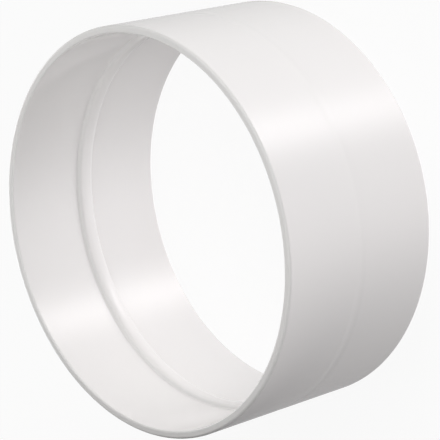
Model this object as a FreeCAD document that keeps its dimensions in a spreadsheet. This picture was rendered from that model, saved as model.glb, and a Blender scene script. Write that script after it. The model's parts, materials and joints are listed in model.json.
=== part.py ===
import FreeCAD, Part
import math
import os
from dataclasses import dataclass

import Sketcher

# A short round duct connector, moulded in one piece. Two plain sockets, one from each end, take the ends of
# two round ducts. Each mouth has a small lead-in bevel inside and a rounded edge outside. A low bead with
# steep flanks and a domed crest runs round the middle of the bore and stops both ducts. The thicker wall at
# the bead has shrunk a little in the mould and leaves a shallow sink ring on the outside.
# The connector stands on its lower end, with its axis along +Z and the origin at the centre of that end.

NODE = "connector_body"

# Driving dimensions in millimetres.
SIZES = {
    "bore": 100.0,
    "wall": 2.0,
    "length": 49.0,
    "bead_height": 1.2,
    "crest_width": 4.0,
    "crest_rise": 0.25,
    "flank_run": 0.45,
    "foot_bevel": 0.3,
    "shoulder_round": 1.0,
    "rim_round": 0.72,
    "mouth_bevel": 0.5,
    "sink_width": 4.4,
    "sink_depth": 0.05,
}

# A round or a bevel takes at most this share of the face that it runs into.
RIM_SHARE = 0.5
MOUTH_SHARE = 0.3
FOOT_SHARE = 0.35
SHOULDER_SHARE = 0.62

# The flank of the bead climbs from the bore to the edge of the crest.
FLANK_CLIMB = "(Sizes.bead_height - Sizes.crest_rise)"
FLANK_LENGTH = f"sqrt(Sizes.flank_run ^ 2 + {FLANK_CLIMB} ^ 2)"
SHOULDER_LIMIT = f"{SHOULDER_SHARE} * {FLANK_LENGTH} * ({FLANK_LENGTH} + Sizes.flank_run) / {FLANK_CLIMB}"

# Distance between a found edge and the place where it is looked for.
EDGE_TOLERANCE = 1e-4


@dataclass(frozen=True)
class Section:
    """Radii and heights of the corners of the half section, before its edges are rounded."""

    inner: float
    outer: float
    shoulder: float
    height: float
    crest_ends: tuple
    bead_ends: tuple
    sink_ends: tuple

    @classmethod
    def from_sheet(cls, sheet):
        """Works the corners out from the sheet's cells."""
        inner = sheet.bore / 2
        middle = sheet.length / 2
        half_crest = sheet.crest_width / 2
        half_bead = half_crest + sheet.flank_run
        half_sink = sheet.sink_width / 2
        return cls(
            inner=inner,
            outer=inner + sheet.wall,
            shoulder=inner - (sheet.bead_height - sheet.crest_rise),
            height=sheet.length,
            crest_ends=(middle - half_crest, middle + half_crest),
            bead_ends=(middle - half_bead, middle + half_bead),
            sink_ends=(middle - half_sink, middle + half_sink),
        )


def make_sheet(doc):
    """Puts the driving dimensions into a spreadsheet, one named cell each."""
    sheet = doc.addObject("Spreadsheet::Sheet", "Sizes")
    for row, (alias, value) in enumerate(SIZES.items(), start=1):
        sheet.set(f"A{row}", alias)
        sheet.set(f"B{row}", str(value))
        sheet.setAlias(f"B{row}", alias)
    doc.recompute()
    return sheet


def origin_plane(body, role):
    """Finds one of the body's own origin planes by its role."""
    return next(plane for plane in body.Origin.OriginFeatures if plane.Role == role)


def side(start, end):
    """A straight side of the section, between two corners given as radius and height."""
    return Part.LineSegment(FreeCAD.Vector(*start, 0), FreeCAD.Vector(*end, 0))


def ring_arc(radius_at_ends, ends, rise):
    """A curved side that leans towards the axis by a rise, from its upper end to its lower end."""
    low, high = ends
    width = high - low
    radius = (width ** 2 / 4 + rise ** 2) / (2 * rise)
    half_angle = math.asin(width / (2 * radius))
    centre = FreeCAD.Vector(radius_at_ends - rise + radius, (low + high) / 2, 0)
    circle = Part.Circle(centre, FreeCAD.Vector(0, 0, 1), radius)
    return Part.ArcOfCircle(circle, math.pi - half_angle, math.pi + half_angle)


def arc_radius(width, rise):
    """The formula for the radius of such an arc, from the cells that hold its width and its rise."""
    return f"(Sizes.{width} ^ 2 / 4 + Sizes.{rise} ^ 2) / (2 * Sizes.{rise})"


def drive(sketch, name, kind, places, formula):
    """Adds a measured constraint that follows a formula of the sheet's cells."""
    value = sketch.evalExpression(formula)
    index = sketch.addConstraint(Sketcher.Constraint(kind, *places, value))
    sketch.renameConstraint(index, name)
    sketch.setExpression(f"Constraints.{name}", formula)


def draw_section(sketch, sheet):
    """Draws the half section with sharp corners and ties every side of it to the sheet."""
    section = Section.from_sheet(sheet)
    inner, outer, shoulder, top = section.inner, section.outer, section.shoulder, section.height
    crest_low, crest_high = section.crest_ends
    bead_low, bead_high = section.bead_ends
    sink_low, sink_high = section.sink_ends

    lower_face = sketch.addGeometry(side((inner, 0), (outer, 0)))
    lower_wall = sketch.addGeometry(side((outer, 0), (outer, sink_low)))
    sink = sketch.addGeometry(ring_arc(outer, section.sink_ends, sheet.sink_depth))
    upper_wall = sketch.addGeometry(side((outer, sink_high), (outer, top)))
    upper_face = sketch.addGeometry(side((outer, top), (inner, top)))
    upper_bore = sketch.addGeometry(side((inner, top), (inner, bead_high)))
    upper_flank = sketch.addGeometry(side((inner, bead_high), (shoulder, crest_high)))
    crest = sketch.addGeometry(ring_arc(shoulder, section.crest_ends, sheet.crest_rise))
    lower_flank = sketch.addGeometry(side((shoulder, crest_low), (inner, bead_low)))
    lower_bore = sketch.addGeometry(side((inner, bead_low), (inner, 0)))

    # The sides meet end to end. Both arcs start at their upper end.
    first, last = 1, 2
    corners = [
        (lower_face, last, lower_wall, first),
        (lower_wall, last, sink, last),
        (sink, first, upper_wall, first),
        (upper_wall, last, upper_face, first),
        (upper_face, last, upper_bore, first),
        (upper_bore, last, upper_flank, first),
        (upper_flank, last, crest, first),
        (crest, last, lower_flank, first),
        (lower_flank, last, lower_bore, first),
        (lower_bore, last, lower_face, first),
    ]
    for corner in corners:
        sketch.addConstraint(Sketcher.Constraint("Coincident", *corner))
    for face in (lower_face, upper_face):
        sketch.addConstraint(Sketcher.Constraint("Horizontal", face))
    for wall in (lower_wall, upper_wall, upper_bore, lower_bore):
        sketch.addConstraint(Sketcher.Constraint("Vertical", wall))
    in_line = [
        (sink, first, sink, last),
        (crest, first, crest, last),
        (upper_bore, last, lower_bore, first),
    ]
    for pair in in_line:
        sketch.addConstraint(Sketcher.Constraint("Vertical", *pair))
    radius_axis = -1
    sketch.addConstraint(Sketcher.Constraint("PointOnObject", lower_face, first, radius_axis))

    origin = (-1, first)
    mouth = (lower_face, first)
    drive(sketch, "bore_radius", "DistanceX", (*origin, *mouth), "Sizes.bore / 2")
    drive(sketch, "wall", "DistanceX", (*mouth, lower_face, last), "Sizes.wall")
    drive(sketch, "length", "DistanceY", (*mouth, upper_face, last), "Sizes.length")
    drive(sketch, "sink_start", "DistanceY", (*mouth, sink, last), "(Sizes.length - Sizes.sink_width) / 2")
    drive(sketch, "sink_width", "DistanceY", (sink, last, sink, first), "Sizes.sink_width")
    drive(sketch, "sink_radius", "Radius", (sink,), arc_radius("sink_width", "sink_depth"))
    drive(sketch, "crest_start", "DistanceY", (*mouth, crest, last), "(Sizes.length - Sizes.crest_width) / 2")
    drive(sketch, "crest_width", "DistanceY", (crest, last, crest, first), "Sizes.crest_width")
    drive(sketch, "crest_radius", "Radius", (crest,), arc_radius("crest_width", "crest_rise"))
    drive(sketch, "flank_climb", "DistanceX", (lower_flank, first, lower_flank, last), FLANK_CLIMB)
    drive(sketch, "lower_run", "DistanceY", (lower_flank, last, lower_flank, first), "Sizes.flank_run")
    drive(sketch, "upper_run", "DistanceY", (upper_flank, last, upper_flank, first), "Sizes.flank_run")


def ring_edges(feature, radius, heights):
    """Names the round edges of a feature that lie at a radius and at any of the given heights."""
    names = []
    for number, edge in enumerate(feature.Shape.Edges, start=1):
        if not isinstance(edge.Curve, Part.Circle):
            continue
        at_radius = abs(edge.Curve.Radius - radius) < EDGE_TOLERANCE
        at_height = any(abs(edge.Curve.Center.z - height) < EDGE_TOLERANCE for height in heights)
        if at_radius and at_height:
            names.append(f"Edge{number}")
    return names


def round_edges(body, name, radius, heights, formula):
    """Rounds a pair of ring edges of the body so far, with a radius that follows the sheet."""
    base = body.Tip
    fillet = body.newObject("PartDesign::Fillet", name)
    fillet.Base = (base, ring_edges(base, radius, heights))
    fillet.setExpression("Radius", formula)
    body.Document.recompute()


def bevel_edges(body, name, radius, heights, formula):
    """Bevels a pair of ring edges of the body so far, by a size that follows the sheet."""
    base = body.Tip
    bevel = body.newObject("PartDesign::Chamfer", name)
    bevel.Base = (base, ring_edges(base, radius, heights))
    bevel.setExpression("Size", formula)
    body.Document.recompute()


def make_connector(doc, sheet):
    """The one moulded piece: the section turned round the axis, then its edges rounded and bevelled."""
    body = doc.addObject("PartDesign::Body", "Connector")
    body.Label = NODE
    body.Placement = FreeCAD.Placement()

    sketch = body.newObject("Sketcher::SketchObject", "SectionSketch")
    sketch.AttachmentSupport = (origin_plane(body, "XZ_Plane"), [""])
    sketch.MapMode = "FlatFace"
    draw_section(sketch, sheet)
    doc.recompute()

    sleeve = body.newObject("PartDesign::Revolution", "Sleeve")
    sleeve.Profile = sketch
    sleeve.ReferenceAxis = (sketch, ["V_Axis"])
    sleeve.Angle = 360.0
    doc.recompute()

    section = Section.from_sheet(sheet)
    ends = (0.0, section.height)
    foot = f"min(Sizes.foot_bevel; {FOOT_SHARE} * {FLANK_LENGTH})"
    shoulder = f"min(Sizes.shoulder_round; {SHOULDER_LIMIT})"
    rim = f"min(Sizes.rim_round; {RIM_SHARE} * Sizes.wall)"
    mouth = f"min(Sizes.mouth_bevel; {MOUTH_SHARE} * Sizes.wall)"
    bevel_edges(body, "BeadFeet", section.inner, section.bead_ends, foot)
    round_edges(body, "BeadShoulders", section.shoulder, section.crest_ends, shoulder)
    round_edges(body, "RimRounds", section.outer, ends, rim)
    bevel_edges(body, "MouthBevels", section.inner, ends, mouth)
    return body


def check(doc, bodies):
    """Stops with a message if an object failed or a piece has no sound solid."""
    for item in doc.Objects:
        if "Invalid" in item.State or "Error" in item.State:
            raise RuntimeError(f"{item.Label} failed: {item.State}")
    for body in bodies:
        if body.Shape.isNull() or not body.Shape.isValid() or len(body.Shape.Solids) != 1:
            raise RuntimeError(f"{body.Label} has no sound solid")


def main():
    """Builds the document, checks it and writes the piece."""
    doc = FreeCAD.newDocument("DuctConnector")
    sheet = make_sheet(doc)
    bodies = [make_connector(doc, sheet)]
    doc.recompute()
    check(doc, bodies)
    os.makedirs("parts", exist_ok=True)
    for body in bodies:
        body.Shape.exportStep(f"parts/{body.Label}.step")
        box = body.Shape.optimalBoundingBox()
        size = f"{box.XLength:.2f} x {box.YLength:.2f} x {box.ZLength:.2f} mm"
        print(f"{body.Label}: {size}, {body.Shape.Volume:.0f} mm3")


main()
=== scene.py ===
import json
import logging
import math
from dataclasses import dataclass, field
from enum import Enum

import bpy
from mathutils import Matrix, Vector


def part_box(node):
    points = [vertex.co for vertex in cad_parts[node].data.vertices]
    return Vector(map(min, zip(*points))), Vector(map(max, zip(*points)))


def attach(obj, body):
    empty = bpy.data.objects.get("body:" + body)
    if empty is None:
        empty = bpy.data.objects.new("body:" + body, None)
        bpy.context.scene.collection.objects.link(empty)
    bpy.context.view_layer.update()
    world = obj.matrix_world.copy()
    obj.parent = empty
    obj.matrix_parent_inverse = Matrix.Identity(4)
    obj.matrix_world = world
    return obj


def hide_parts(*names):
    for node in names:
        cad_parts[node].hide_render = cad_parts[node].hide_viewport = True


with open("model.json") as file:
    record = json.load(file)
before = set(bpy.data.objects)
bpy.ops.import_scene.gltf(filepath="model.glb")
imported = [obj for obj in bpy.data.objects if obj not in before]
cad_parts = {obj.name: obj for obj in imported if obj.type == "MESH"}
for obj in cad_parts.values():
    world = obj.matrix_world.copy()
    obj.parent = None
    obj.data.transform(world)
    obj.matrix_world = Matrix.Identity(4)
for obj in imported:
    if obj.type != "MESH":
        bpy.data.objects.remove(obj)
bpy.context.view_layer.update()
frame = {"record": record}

log = logging.getLogger("duct_connector")

NODE = "connector_body"
BODY = "root"
MM = 0.001

Point = tuple[float, float]
Place = tuple[float, float, float]
Colour = tuple[float, float, float, float]


class Zone(Enum):
    """The stretches of the connector's skin, numbered as its materials are."""

    OUTSIDE = 0
    RIM = 1
    BORE = 2


class Lamp(Enum):
    """The kinds of lamp in the studio, each with the colour of its light."""

    ROSE = (1.0, 0.975, 0.985, 1.0)
    STRAW = (1.0, 1.0, 0.99, 1.0)


@dataclass
class SkinGroups:
    """Shader node groups that the finishes of this scene share."""

    cloud_detail: float = 1.0
    cloud_roughness: float = 0.4
    cloud_low: float = 0.2
    cloud_high: float = 0.8
    swell_detail: float = 2.0
    swell_roughness: float = 0.35

    def mottle(self) -> bpy.types.NodeTree:
        """Makes the group for slow, cloudy changes across a surface.

        Returns:
            A group with the size of the clouds as its input and a mask from 0 to 1 as its output.
        """
        tree = bpy.data.node_groups.new("Cloudy mottle", "ShaderNodeTree")
        tree.interface.new_socket("Clouds per metre", in_out="INPUT", socket_type="NodeSocketFloat")
        tree.interface.new_socket("Mask", in_out="OUTPUT", socket_type="NodeSocketFloat")
        start = tree.nodes.new("NodeGroupInput")
        end = tree.nodes.new("NodeGroupOutput")
        place = tree.nodes.new("ShaderNodeTexCoord")
        clouds = tree.nodes.new("ShaderNodeTexNoise")
        clouds.inputs["Detail"].default_value = self.cloud_detail
        clouds.inputs["Roughness"].default_value = self.cloud_roughness
        spread = tree.nodes.new("ShaderNodeMapRange")
        spread.interpolation_type = "SMOOTHSTEP"
        spread.inputs["From Min"].default_value = self.cloud_low
        spread.inputs["From Max"].default_value = self.cloud_high
        tree.links.new(place.outputs["Object"], clouds.inputs["Vector"])
        tree.links.new(start.outputs["Clouds per metre"], clouds.inputs["Scale"])
        tree.links.new(clouds.outputs["Fac"], spread.inputs["Value"])
        tree.links.new(spread.outputs["Result"], end.inputs["Mask"])
        return tree

    def peel(self) -> bpy.types.NodeTree:
        """Makes the group for the faint unevenness that a polished mould leaves on plastic.

        Returns:
            A group with the number of swells per metre as its input and a height from 0 to 1 as its output.
        """
        tree = bpy.data.node_groups.new("Moulded skin", "ShaderNodeTree")
        tree.interface.new_socket("Swells per metre", in_out="INPUT", socket_type="NodeSocketFloat")
        tree.interface.new_socket("Height", in_out="OUTPUT", socket_type="NodeSocketFloat")
        start = tree.nodes.new("NodeGroupInput")
        end = tree.nodes.new("NodeGroupOutput")
        place = tree.nodes.new("ShaderNodeTexCoord")
        swells = tree.nodes.new("ShaderNodeTexNoise")
        swells.inputs["Detail"].default_value = self.swell_detail
        swells.inputs["Roughness"].default_value = self.swell_roughness
        tree.links.new(place.outputs["Object"], swells.inputs["Vector"])
        tree.links.new(start.outputs["Swells per metre"], swells.inputs["Scale"])
        tree.links.new(swells.outputs["Fac"], end.inputs["Height"])
        return tree


@dataclass(frozen=True)
class MouldedPlastic:
    """White plastic as it comes out of a polished mould."""

    name: str
    warm: Colour = (0.886, 0.872, 0.865, 1.0)
    cool: Colour = (0.882, 0.873, 0.869, 1.0)
    smoothest: float = 0.11
    roughest: float = 0.14
    clouds_per_metre: float = 22.0
    swells_per_metre: float = 700.0
    swell_height: float = 0.004 * MM
    refraction: float = 1.47

    def material(self, mottle: bpy.types.NodeTree, peel: bpy.types.NodeTree) -> bpy.types.Material:
        """Makes the material.

        Args:
            mottle: The group that gives the slow changes of tint and gloss.
            peel: The group that gives the faint unevenness of the skin.

        Returns:
            The new material.
        """
        made = bpy.data.materials.new(self.name)
        made.use_nodes = True
        tree = made.node_tree
        skin = tree.nodes["Principled BSDF"]
        skin.inputs["IOR"].default_value = self.refraction
        clouds = tree.nodes.new("ShaderNodeGroup")
        clouds.node_tree = mottle
        clouds.inputs["Clouds per metre"].default_value = self.clouds_per_metre
        tint = tree.nodes.new("ShaderNodeMix")
        tint.data_type = "RGBA"
        tint.inputs["A"].default_value = self.warm
        tint.inputs["B"].default_value = self.cool
        polish = tree.nodes.new("ShaderNodeMapRange")
        polish.inputs["To Min"].default_value = self.smoothest
        polish.inputs["To Max"].default_value = self.roughest
        swells = tree.nodes.new("ShaderNodeGroup")
        swells.node_tree = peel
        swells.inputs["Swells per metre"].default_value = self.swells_per_metre
        relief = tree.nodes.new("ShaderNodeBump")
        relief.inputs["Distance"].default_value = self.swell_height
        tree.links.new(clouds.outputs["Mask"], tint.inputs["Factor"])
        tree.links.new(clouds.outputs["Mask"], polish.inputs["Value"])
        tree.links.new(tint.outputs["Result"], skin.inputs["Base Color"])
        tree.links.new(polish.outputs["Result"], skin.inputs["Roughness"])
        tree.links.new(swells.outputs["Height"], relief.inputs["Height"])
        tree.links.new(relief.outputs["Normal"], skin.inputs["Normal"])
        return made


@dataclass
class SectionPath:
    """A closed outline in radius and height that runs with the material on its left."""

    points: list[Point] = field(default_factory=list)
    normals: list[Point] = field(default_factory=list)
    zones: list[Zone] = field(default_factory=list)

    def add(self, point: Point, normal: Point, zone: Zone) -> None:
        """Adds one point.

        Args:
            point: Radius and height of the point.
            normal: The outward normal there.
            zone: The zone of the stretch that starts there.
        """
        self.points.append(point)
        self.normals.append(normal)
        self.zones.append(zone)

    def line(self, start: Point, end: Point, zone: Zone, steps: int = 1) -> None:
        """Runs straight from one point to just before another.

        Args:
            start: Radius and height of the first point.
            end: Radius and height of the point that the next stretch starts at.
            zone: The zone of the stretch.
            steps: How many pieces the stretch is cut into.
        """
        across, along = end[0] - start[0], end[1] - start[1]
        length = math.hypot(across, along)
        normal = (along / length, -across / length)
        for step in range(steps):
            share = step / steps
            self.add((start[0] + across * share, start[1] + along * share), normal, zone)

    def arc(self, centre: Point, radius: float, start: float, end: float, zone: Zone, steps: int) -> None:
        """Runs round a centre, to just before the end of the turn.

        Args:
            centre: Radius and height of the centre.
            radius: Radius of the arc.
            start: Angle that it starts at, in radians.
            end: Angle that it ends at. A larger one than start bulges outwards, a smaller one is hollow.
            zone: The zone of the stretch.
            steps: How many pieces the stretch is cut into.
        """
        side = 1.0 if end > start else -1.0
        for step in range(steps):
            angle = start + (end - start) * step / steps
            away = (math.cos(angle), math.sin(angle))
            point = (centre[0] + radius * away[0], centre[1] + radius * away[1])
            self.add(point, (side * away[0], side * away[1]), zone)


@dataclass
class ConnectorBody:
    """The one moulded piece: a sleeve with a socket at each end and a stop bead inside."""

    outer: float
    bore: float
    length: float
    bead_height: float = 1.2 * MM
    crest_width: float = 4.0 * MM
    crest_rise: float = 0.25 * MM
    flank_run: float = 0.45 * MM
    foot_round: float = 0.5 * MM
    shoulder_round: float = 1.0 * MM
    rim_round: float = 0.72 * MM
    mouth_round: float = 0.5 * MM
    sink_width: float = 3.8 * MM
    sink_depth: float = 0.075 * MM
    turns: int = 480
    wall_steps: int = 6
    sink_steps: int = 28
    foot_steps: int = 10
    flank_steps: int = 2
    shoulder_steps: int = 10
    crest_steps: int = 12
    face_steps: int = 2
    rim_steps: int = 12
    mouth_steps: int = 8

    @classmethod
    def from_frame(cls) -> "ConnectorBody":
        """Takes the outside from the node's box and the bore from the record's sockets.

        Returns:
            The connector at the frame's own size.
        """
        low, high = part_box(NODE)
        sockets = [mount for mount in frame["record"]["mounts"] if mount["kind"] == "bore"]
        bore = sockets[0]["dims"]["r_mm"] * MM
        return cls(outer=(high.x - low.x) / 2, bore=bore, length=high.z - low.z)

    def outside(self, path: SectionPath) -> None:
        """Draws the outer wall upwards, with the sink ring at half height.

        Args:
            path: The outline so far.
        """
        middle, half = self.length / 2, self.sink_width / 2
        low, high = self.rim_round, self.length - self.rim_round
        path.line((self.outer, low), (self.outer, middle - half), Zone.OUTSIDE, self.wall_steps)
        for step in range(self.sink_steps):
            phase = math.pi * (step / self.sink_steps - 0.5)
            height = middle + self.sink_width * phase / math.pi
            sunk = self.sink_depth * math.cos(phase) ** 2
            slope = self.sink_depth * math.sin(2 * phase) * math.pi / self.sink_width
            size = math.hypot(1.0, slope)
            path.add((self.outer - sunk, height), (1.0 / size, -slope / size), Zone.OUTSIDE)
        path.line((self.outer, middle + half), (self.outer, high), Zone.OUTSIDE, self.wall_steps)

    def bead(self, path: SectionPath) -> None:
        """Draws the bore downwards, with the stop bead at half height.

        Args:
            path: The outline so far.
        """
        middle, turn = self.length / 2, math.pi
        foot, shoulder = self.foot_round, self.shoulder_round
        lean = math.atan2(self.bead_height - self.crest_rise, self.flank_run)
        crest = (self.crest_width ** 2 / 4 + self.crest_rise ** 2) / (2 * self.crest_rise)

        # The shoulder round touches the crest's arc on its inside and the straight flank below it.
        foot_corner = self.crest_width / 2 + self.flank_run
        reach = foot_corner * math.sin(lean) + (crest - self.bead_height) * math.cos(lean)
        spread = lean - math.acos((reach - shoulder) / (crest - shoulder))
        foot_start = foot_corner + foot * math.tan(lean / 2)

        crest_centre = (self.bore - self.bead_height + crest, middle)
        upper_foot = (self.bore - foot, middle + foot_start)
        lower_foot = (self.bore - foot, middle - foot_start)
        upper_shoulder = self.towards(crest_centre, crest - shoulder, turn - spread)
        lower_shoulder = self.towards(crest_centre, crest - shoulder, turn + spread)

        mouth_top = (self.bore, self.length - self.mouth_round)
        path.line(mouth_top, (self.bore, upper_foot[1]), Zone.BORE, self.wall_steps)
        path.arc(upper_foot, foot, 0.0, -lean, Zone.BORE, self.foot_steps)
        flank = self.towards(upper_foot, foot, -lean)
        path.line(flank, self.towards(upper_shoulder, shoulder, turn - lean), Zone.BORE, self.flank_steps)
        path.arc(upper_shoulder, shoulder, turn - lean, turn - spread, Zone.BORE, self.shoulder_steps)
        path.arc(crest_centre, crest, turn - spread, turn + spread, Zone.BORE, self.crest_steps)
        path.arc(lower_shoulder, shoulder, turn + spread, turn + lean, Zone.BORE, self.shoulder_steps)
        flank = self.towards(lower_shoulder, shoulder, turn + lean)
        path.line(flank, self.towards(lower_foot, foot, lean), Zone.BORE, self.flank_steps)
        path.arc(lower_foot, foot, lean, 0.0, Zone.BORE, self.foot_steps)
        mouth_low = (self.bore, self.mouth_round)
        path.line((self.bore, lower_foot[1]), mouth_low, Zone.BORE, self.wall_steps)

    @staticmethod
    def towards(centre: Point, radius: float, angle: float) -> Point:
        """The point at an angle and a distance from a centre."""
        return centre[0] + radius * math.cos(angle), centre[1] + radius * math.sin(angle)

    def section(self) -> SectionPath:
        """Draws the half section once round, from the lower end's inner edge.

        Returns:
            The closed outline.
        """
        path = SectionPath()
        quarter = math.pi / 2
        rim, mouth, top = self.rim_round, self.mouth_round, self.length
        outer_edge, inner_edge = self.outer - rim, self.bore + mouth
        path.line((inner_edge, 0.0), (outer_edge, 0.0), Zone.RIM, self.face_steps)
        path.arc((outer_edge, rim), rim, -quarter, 0.0, Zone.RIM, self.rim_steps)
        self.outside(path)
        path.arc((outer_edge, top - rim), rim, 0.0, quarter, Zone.RIM, self.rim_steps)
        path.line((outer_edge, top), (inner_edge, top), Zone.RIM, self.face_steps)
        path.arc((inner_edge, top - mouth), mouth, quarter, 2 * quarter, Zone.RIM, self.mouth_steps)
        self.bead(path)
        path.arc((inner_edge, mouth), mouth, 2 * quarter, 3 * quarter, Zone.RIM, self.mouth_steps)
        return path

    def mesh(self) -> bpy.types.Mesh:
        """Turns the section round the axis.

        Returns:
            A closed mesh with a true normal at every point.
        """
        path = self.section()
        count = len(path.points)
        points, normals, faces, zones = [], [], [], []
        for turn in range(self.turns):
            angle = 2 * math.pi * turn / self.turns
            cosine, sine = math.cos(angle), math.sin(angle)
            following = (turn + 1) % self.turns
            for step, ((radius, height), (across, along)) in enumerate(zip(path.points, path.normals)):
                points.append((radius * cosine, radius * sine, height))
                normals.append((across * cosine, across * sine, along))
                after = (step + 1) % count
                here, there = turn * count, following * count
                faces.append((here + step, there + step, there + after, here + after))
                zones.append(path.zones[step].value)
        made = bpy.data.meshes.new("connector_skin")
        made.from_pydata(points, [], faces)
        made.polygons.foreach_set("use_smooth", [True] * len(faces))
        made.polygons.foreach_set("material_index", zones)
        made.normals_split_custom_set_from_vertices(normals)
        made.update()
        return made

    def build(self, finishes: dict[Zone, bpy.types.Material]) -> bpy.types.Object:
        """Makes the piece, dresses it and seats it on the frame.

        Args:
            finishes: The material of each zone.

        Returns:
            The finished piece.
        """
        skin = self.mesh()
        for zone in Zone:
            skin.materials.append(finishes[zone])
        piece = bpy.data.objects.new("connector_skin", skin)
        bpy.context.scene.collection.objects.link(piece)
        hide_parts(NODE)
        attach(piece, BODY)
        return piece


@dataclass
class PhotoCamera:
    """The camera, where the photograph was taken from, turned with the part that stands on its end."""

    aim: Place = (-1.51 * MM, -1.21 * MM, 23.14 * MM)
    distance: float = 565.35 * MM
    elevation: float = math.radians(41.761)
    roll: float = math.radians(-104.578)
    lens: float = 181.965
    nearest: float = 10.0 * MM

    def build(self) -> bpy.types.Object:
        """Makes the camera and puts it to use.

        Returns:
            The camera.
        """
        optics = bpy.data.cameras.new("photo_camera")
        optics.lens = self.lens
        optics.clip_start = self.nearest
        camera = bpy.data.objects.new("photo_camera", optics)
        back = Vector((0.0, -math.cos(self.elevation), math.sin(self.elevation)))
        upright = Matrix.Rotation(math.pi / 2 - self.elevation, 4, "X")
        rolled = Matrix.Rotation(self.roll, 4, "Z")
        stand = Matrix.Translation(Vector(self.aim) + self.distance * back)
        camera.matrix_world = stand @ upright @ rolled
        bpy.context.scene.collection.objects.link(camera)
        bpy.context.scene.camera = camera
        return camera


@dataclass(frozen=True)
class Glow:
    """One large soft light of the studio, seen from the object as a bright patch without edges.

    The direction it comes from is in degrees.
    """

    name: str
    azimuth: float
    elevation: float
    sharpness: float
    strength: float
    lamp: Lamp

    def direction(self) -> Vector:
        """Works out where the light is.

        Returns:
            The direction that the light comes from.
        """
        turn, rise = math.radians(self.azimuth), math.radians(self.elevation)
        level = math.cos(rise)
        return Vector((level * math.cos(turn), level * math.sin(turn), math.sin(rise)))

    def nodes(self, tree: bpy.types.NodeTree, place: bpy.types.NodeSocket) -> bpy.types.NodeSocket:
        """Adds the light to the studio's shader.

        Args:
            tree: The world's node tree.
            place: The socket that gives the direction looked in.

        Returns:
            The socket with the light's brightness in that direction.
        """
        facing = tree.nodes.new("ShaderNodeVectorMath")
        facing.operation = "DOT_PRODUCT"
        facing.label = self.name
        facing.inputs[1].default_value = self.direction()
        tree.links.new(place, facing.inputs[0])
        value = facing.outputs["Value"]
        for operation, amount in (("MAXIMUM", 0.0), ("POWER", self.sharpness), ("MULTIPLY", self.strength)):
            step = tree.nodes.new("ShaderNodeMath")
            step.operation = operation
            step.inputs[1].default_value = amount
            tree.links.new(value, step.inputs[0])
            value = step.outputs[0]
        return value


@dataclass
class Studio:
    """The white room: a dome of soft lights and a pale table top that lets the lights through."""

    glows: list[Glow]
    table_radius: float = 4.0
    table_corners: int = 64
    table_share: float = 0.12
    table_white: Colour = (0.95, 0.95, 0.95, 1.0)
    backdrop_white: Colour = (1.0, 1.0, 1.0, 1.0)

    def dome(self) -> bpy.types.World:
        """Makes the lights. What the camera sees past the table is plain white.

        Returns:
            The world.
        """
        world = bpy.data.worlds.new("studio dome")
        world.use_nodes = True
        tree = world.node_tree
        tree.nodes.remove(tree.nodes["Background"])
        place = tree.nodes.new("ShaderNodeTexCoord")
        shared = tree.nodes.new("ShaderNodeAddShader")
        for slot, lamp in enumerate(Lamp):
            light = self.lamps(tree, place.outputs["Generated"], lamp)
            tree.links.new(light, shared.inputs[slot])
        backdrop = tree.nodes.new("ShaderNodeBackground")
        backdrop.inputs["Color"].default_value = self.backdrop_white
        ray = tree.nodes.new("ShaderNodeLightPath")
        seen = tree.nodes.new("ShaderNodeMath")
        seen.operation = "MAXIMUM"
        choice = tree.nodes.new("ShaderNodeMixShader")
        tree.links.new(ray.outputs["Is Camera Ray"], seen.inputs[0])
        tree.links.new(ray.outputs["Is Transmission Ray"], seen.inputs[1])
        tree.links.new(seen.outputs[0], choice.inputs["Fac"])
        tree.links.new(shared.outputs[0], choice.inputs[1])
        tree.links.new(backdrop.outputs[0], choice.inputs[2])
        tree.links.new(choice.outputs[0], tree.nodes["World Output"].inputs["Surface"])
        bpy.context.scene.world = world
        return world

    def lamps(
        self, tree: bpy.types.NodeTree, place: bpy.types.NodeSocket, lamp: Lamp
    ) -> bpy.types.NodeSocket:
        """Adds up the lights of one kind of lamp.

        Args:
            tree: The world's node tree.
            place: The socket that gives the direction looked in.
            lamp: The kind of lamp.

        Returns:
            The socket with the light of those lamps.
        """
        light = tree.nodes.new("ShaderNodeBackground")
        light.inputs["Color"].default_value = lamp.value
        total = None
        for glow in self.glows:
            if glow.lamp is not lamp:
                continue
            value = glow.nodes(tree, place)
            if total is not None:
                joined = tree.nodes.new("ShaderNodeMath")
                tree.links.new(total, joined.inputs[0])
                tree.links.new(value, joined.inputs[1])
                value = joined.outputs[0]
            total = value
        tree.links.new(total, light.inputs["Strength"])
        return light.outputs[0]

    def table(self) -> bpy.types.Object:
        """Makes the pale table top, which glows a little and takes the object's soft shadow.

        Returns:
            The table top.
        """
        paint = bpy.data.materials.new("table top")
        paint.use_nodes = True
        tree = paint.node_tree
        tree.nodes.remove(tree.nodes["Principled BSDF"])
        matt = tree.nodes.new("ShaderNodeBsdfDiffuse")
        matt.inputs["Color"].default_value = self.table_white
        shine = tree.nodes.new("ShaderNodeEmission")
        blend = tree.nodes.new("ShaderNodeMixShader")
        blend.inputs["Fac"].default_value = self.table_share
        tree.links.new(shine.outputs[0], blend.inputs[1])
        tree.links.new(matt.outputs[0], blend.inputs[2])
        tree.links.new(blend.outputs[0], tree.nodes["Material Output"].inputs["Surface"])
        disc = bpy.data.meshes.new("table_top")
        corners = self.table_corners
        ring = [2 * math.pi * corner / corners for corner in range(corners)]
        points = [(self.table_radius * math.cos(a), self.table_radius * math.sin(a), 0.0) for a in ring]
        disc.from_pydata(points, [], [tuple(range(corners))])
        disc.materials.append(paint)
        table = bpy.data.objects.new("table_top", disc)
        table.visible_diffuse = False
        table.visible_glossy = False
        table.visible_shadow = False
        bpy.context.scene.collection.objects.link(table)
        return table


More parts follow.
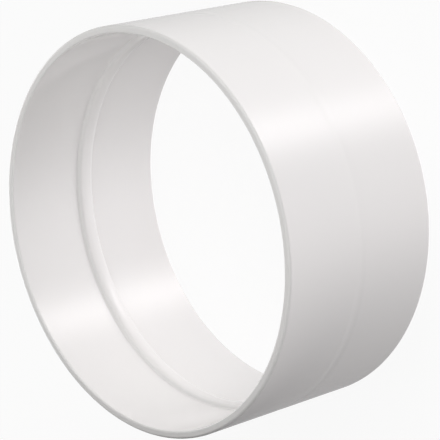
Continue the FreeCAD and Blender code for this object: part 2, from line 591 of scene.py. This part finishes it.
@dataclass
class ShadeCard:
    """A grey card beside the upper rim that shades one side of it. The camera does not see it."""

    bearing: float = math.radians(170.0)
    distance: float = 54.0 * MM
    half_width: float = 90.0 * MM
    low: float = 49.5 * MM
    high: float = 105.0 * MM
    grey: Colour = (0.35, 0.35, 0.35, 1.0)

    def paint(self) -> bpy.types.Material:
        """Makes the card's matt grey.

        Returns:
            The new material.
        """
        made = bpy.data.materials.new("grey card")
        made.use_nodes = True
        tree = made.node_tree
        tree.nodes.remove(tree.nodes["Principled BSDF"])
        matt = tree.nodes.new("ShaderNodeBsdfDiffuse")
        matt.inputs["Color"].default_value = self.grey
        tree.links.new(matt.outputs[0], tree.nodes["Material Output"].inputs["Surface"])
        return made

    def build(self) -> bpy.types.Object:
        """Makes the card and puts it in the scene beside the upper rim.

        Returns:
            The card.
        """
        away = Vector((math.cos(self.bearing), math.sin(self.bearing), 0.0))
        along = Vector((-away.y, away.x, 0.0))
        wide = self.half_width
        corners = ((-wide, self.low), (wide, self.low), (wide, self.high), (-wide, self.high))
        foot = away * self.distance
        points = [foot + along * side + Vector((0.0, 0.0, height)) for side, height in corners]
        sheet = bpy.data.meshes.new("shade_card")
        sheet.from_pydata(points, [], [(0, 1, 2, 3)])
        sheet.materials.append(self.paint())
        card = bpy.data.objects.new("shade_card", sheet)
        card.visible_camera = False
        bpy.context.scene.collection.objects.link(card)
        return card


def main() -> None:
    """Builds the connector, the camera and the studio."""
    groups = SkinGroups()
    mottle, peel = groups.mottle(), groups.peel()
    finishes = {
        zone: MouldedPlastic(f"{zone.name.lower()} plastic").material(mottle, peel) for zone in Zone
    }
    piece = ConnectorBody.from_frame().build(finishes)
    log.info("piece %s: %d faces", piece.name, len(piece.data.polygons))
    PhotoCamera().build()
    bpy.context.scene.view_settings.view_transform = "Standard"
    glows = [
        Glow("key bank", -40.5, -89.0, 4.0, 1.18, Lamp.ROSE),
        Glow("rear bank", -110.0, -35.5, 8.0, 1.61, Lamp.ROSE),
        Glow("wing bank", -43.0, -43.5, 12.0, 1.5, Lamp.ROSE),
        Glow("lower strip", -54.0, -46.0, 70.0, 0.9, Lamp.ROSE),
        Glow("strip", -54.0, -38.0, 70.0, 2.95, Lamp.ROSE),
        Glow("upper strip", -60.0, 2.0, 60.0, 2.0, Lamp.STRAW),
        Glow("left bank", 62.5, -38.0, 8.0, 0.3, Lamp.STRAW),
        Glow("right bank", -16.0, 38.0, 8.0, 2.16, Lamp.STRAW),
        Glow("side bank", 5.5, -30.0, 12.0, 0.72, Lamp.STRAW),
        Glow("front bank", 169.0, 51.0, 8.0, 0.98, Lamp.STRAW),
        Glow("high bank", -109.5, 63.5, 8.0, 1.43, Lamp.STRAW),
        Glow("far bank", 84.0, 3.0, 16.0, 3.2, Lamp.STRAW),
        Glow("back wall", 61.0, -81.0, 1.0, 0.15, Lamp.STRAW),
    ]
    studio = Studio(glows)
    studio.dome()
    studio.table()
    ShadeCard().build()


if __name__ == "__main__":
    logging.basicConfig(level=logging.INFO)
    main()
